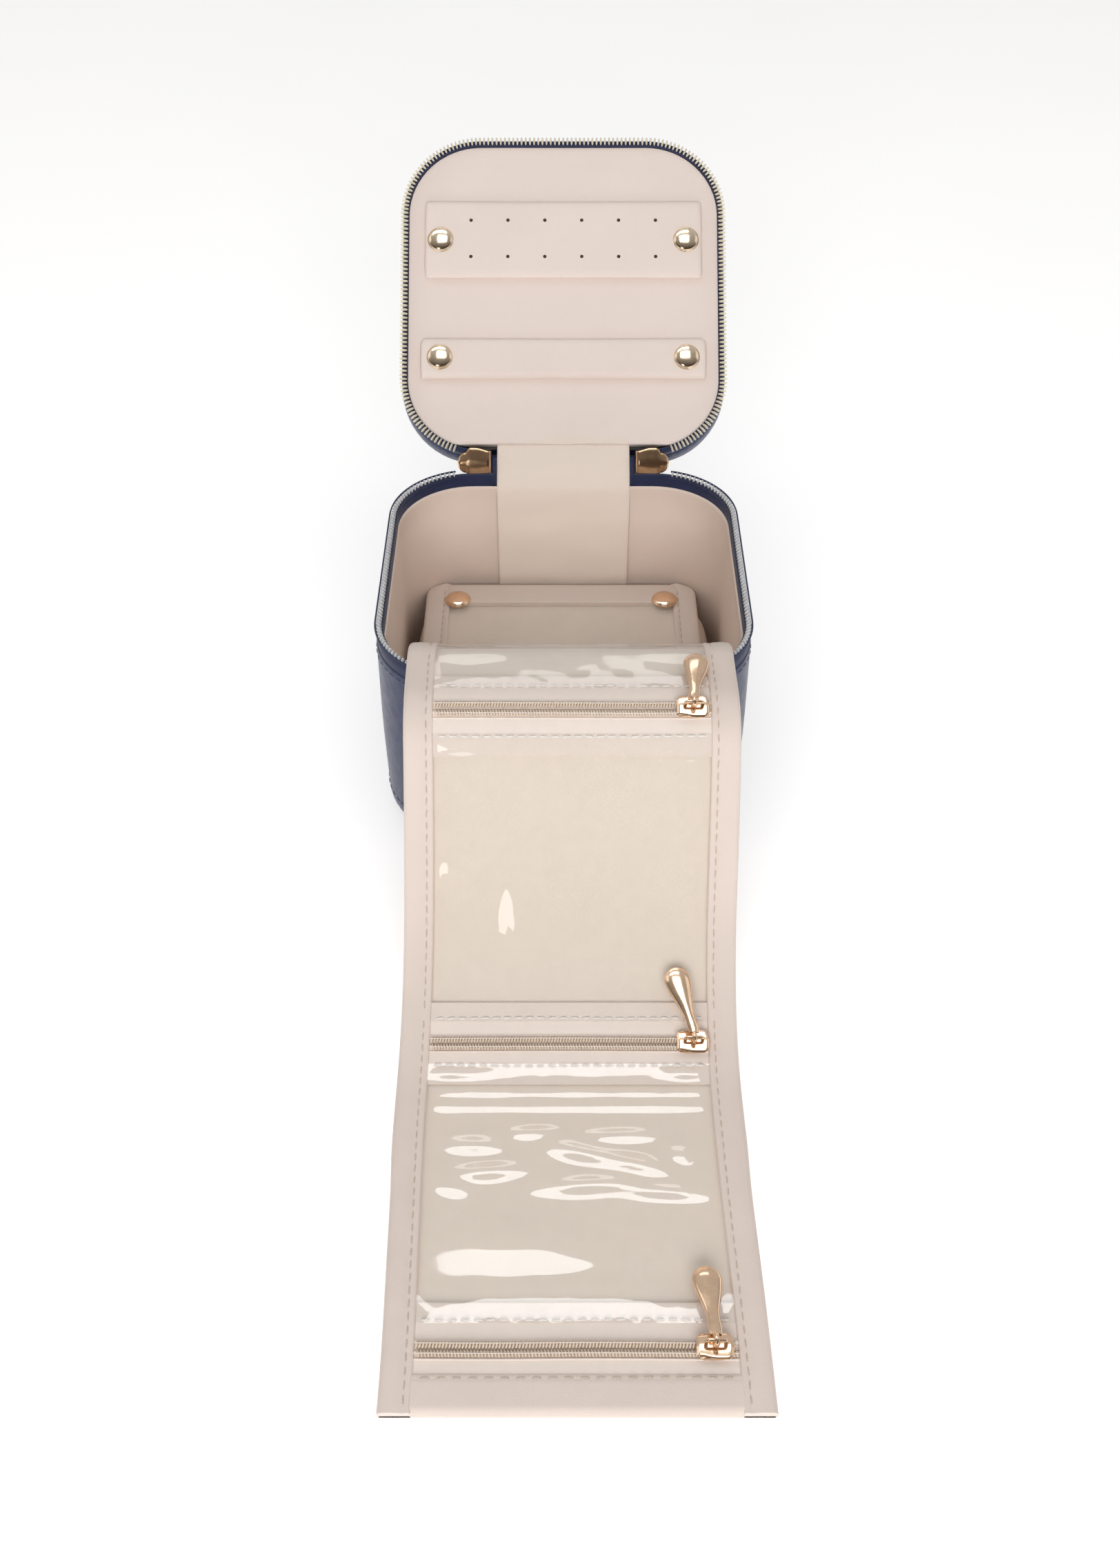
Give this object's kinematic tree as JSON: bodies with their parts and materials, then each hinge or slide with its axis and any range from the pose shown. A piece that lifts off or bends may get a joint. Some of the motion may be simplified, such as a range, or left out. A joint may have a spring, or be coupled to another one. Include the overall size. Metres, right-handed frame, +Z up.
{
  "type": "travel jewelry case",
  "caption": "Open zip-around cube jewelry case with a hinged padded lid, earring panel, ring bar and a snap-in roll of clear zip pockets draped over its front rim.",
  "frame": {"origin": "centre of the case base, on the surface it stands on", "axes": "+X to the case right, +Y towards the lid hinge at the rear, +Z up"},
  "size_m": [0.114, 0.3959, 0.1474],
  "materials": {
    "navy_fabric": "satin",
    "navy_tape": "matte",
    "zip_metal": "satin",
    "liner": "matte",
    "board": "matte",
    "foam": "matte",
    "rose_gold": "polished",
    "post_metal": "polished",
    "roll_cloth": "satin",
    "clear_vinyl": "gloss",
    "beige_tape": "matte",
    "beige_coil": "satin"
  },
  "bodies": {
    "case": {"base_cushion": "liner", "body_base_board": "board", "body_liner": "liner", "body_outer_shell": "navy_fabric", "body_wall_stiffener": "board", "body_zip_coil": "zip_metal", "body_zip_tape": "navy_tape", "case_zip_sliders": "rose_gold", "cushion_board": "board", "cushion_snap_posts": "post_metal", "hinge_fabric_body": "navy_fabric", "hinge_strap_body": "liner", "pocket_window_a": "clear_vinyl", "pocket_window_b": "clear_vinyl", "roll_backing_a": "roll_cloth", "roll_backing_b": "roll_cloth", "roll_bindings_a": "roll_cloth", "roll_bindings_b": "roll_cloth", "roll_snap_bar": "roll_cloth", "roll_snap_caps": "rose_gold", "zip_coil_0": "beige_coil", "zip_coil_1": "beige_coil", "zip_tape_0": "beige_tape", "zip_tape_1": "beige_tape"},
    "lid": {"lid_outer_shell": "navy_fabric", "lid_board": "board", "lid_foam": "foam", "lid_liner_panel": "liner", "lid_zip_tape": "navy_tape", "lid_zip_coil": "zip_metal", "lid_snap_posts": "post_metal", "hinge_strap_lid": "liner", "hinge_fabric_lid": "navy_fabric"},
    "earring_panel": {"earring_panel": "liner", "earring_panel_snap_caps": "rose_gold"},
    "ring_bar": {"ring_bar": "liner", "ring_bar_snap_caps": "rose_gold"},
    "roll_c": {"roll_backing_c": "roll_cloth", "roll_bindings_c": "roll_cloth", "pocket_window_c": "clear_vinyl", "zip_tape_2": "beige_tape", "zip_coil_2": "beige_coil"},
    "roll_d": {"roll_backing_d": "roll_cloth", "roll_bindings_d": "roll_cloth", "pocket_window_d": "clear_vinyl", "zip_tape_3": "beige_tape", "zip_coil_3": "beige_coil", "roll_end_hem": "roll_cloth"},
    "case_pull_left": {"case_pull_left": "rose_gold"},
    "case_pull_right": {"case_pull_right": "rose_gold"},
    "zip_slider_0": {"zip_slider_0": "rose_gold"},
    "zip_pull_0": {"zip_pull_0": "rose_gold"},
    "zip_slider_1": {"zip_slider_1": "rose_gold"},
    "zip_pull_1": {"zip_pull_1": "rose_gold"},
    "zip_slider_2": {"zip_slider_2": "rose_gold"},
    "zip_pull_2": {"zip_pull_2": "rose_gold"},
    "zip_slider_3": {"zip_slider_3": "rose_gold"},
    "zip_pull_3": {"zip_pull_3": "rose_gold"}
  },
  "joints": [
    {"name": "lid_hinge", "type": "hinge", "parent": "case", "child": "lid", "pos_m": [0, 0.0587, 0.0711], "axis": [1, 0, 0], "range_deg": [-18, 130]},
    {"name": "earring_panel_lift", "type": "hinge", "parent": "lid", "child": "earring_panel", "pos_m": [-0.0486, 0.11978, 0.12115], "axis": [0, -0.7536, -0.6574], "range_deg": [0, 12]},
    {"name": "ring_bar_lift", "type": "hinge", "parent": "lid", "child": "ring_bar", "pos_m": [-0.0498, 0.08782, 0.09328], "axis": [0, -0.7536, -0.6574], "range_deg": [0, 20]},
    {"name": "roll_fold_c", "type": "hinge", "parent": "case", "child": "roll_c", "pos_m": [0.0019, -0.08095, 0.06473], "axis": [-1, 0, 0], "range_deg": [0, 75]},
    {"name": "roll_fold_d", "type": "hinge", "parent": "roll_c", "child": "roll_d", "pos_m": [0.0019, -0.14675, 0.00186], "axis": [-1, 0, 0], "range_deg": [0, 90]},
    {"name": "case_pull_left_swing", "type": "hinge", "parent": "case", "child": "case_pull_left", "pos_m": [-0.0302, 0.06104, 0.06939], "axis": [1, 0, 0], "range_deg": [0, 25]},
    {"name": "case_pull_right_swing", "type": "hinge", "parent": "case", "child": "case_pull_right", "pos_m": [0.0302, 0.06104, 0.06939], "axis": [1, 0, 0], "range_deg": [0, 25]},
    {"name": "zip_slide_0", "type": "slide", "parent": "case", "child": "zip_slider_0", "axis": [-1, 0, 0], "range_m": [0, 0.067]},
    {"name": "zip_pull_0_lift", "type": "hinge", "parent": "zip_slider_0", "child": "zip_pull_0", "pos_m": [0.0334, -0.0143, 0.0322], "axis": [1, 0, 0], "range_deg": [0, 110]},
    {"name": "zip_slide_1", "type": "slide", "parent": "case", "child": "zip_slider_1", "axis": [-1, 0, 0], "range_m": [0, 0.067]},
    {"name": "zip_pull_1_lift", "type": "hinge", "parent": "zip_slider_1", "child": "zip_pull_1", "pos_m": [0.036, -0.07524, 0.07706], "axis": [1, 0, 0], "range_deg": [0, 110]},
    {"name": "zip_slide_2", "type": "slide", "parent": "roll_c", "child": "zip_slider_2", "axis": [-1, 0, 0], "range_m": [0, 0.067]},
    {"name": "zip_pull_2_lift", "type": "hinge", "parent": "zip_slider_2", "child": "zip_pull_2", "pos_m": [0.036, -0.1386, 0.00935], "axis": [1, 0, 0], "range_deg": [0, 70]},
    {"name": "zip_slide_3", "type": "slide", "parent": "roll_d", "child": "zip_slider_3", "axis": [-1, 0, 0], "range_m": [0, 0.067]},
    {"name": "zip_pull_3_lift", "type": "hinge", "parent": "zip_slider_3", "child": "zip_pull_3", "pos_m": [0.036, -0.22667, 0.0071], "axis": [1, 0, 0], "range_deg": [0, 110]}
  ]
}
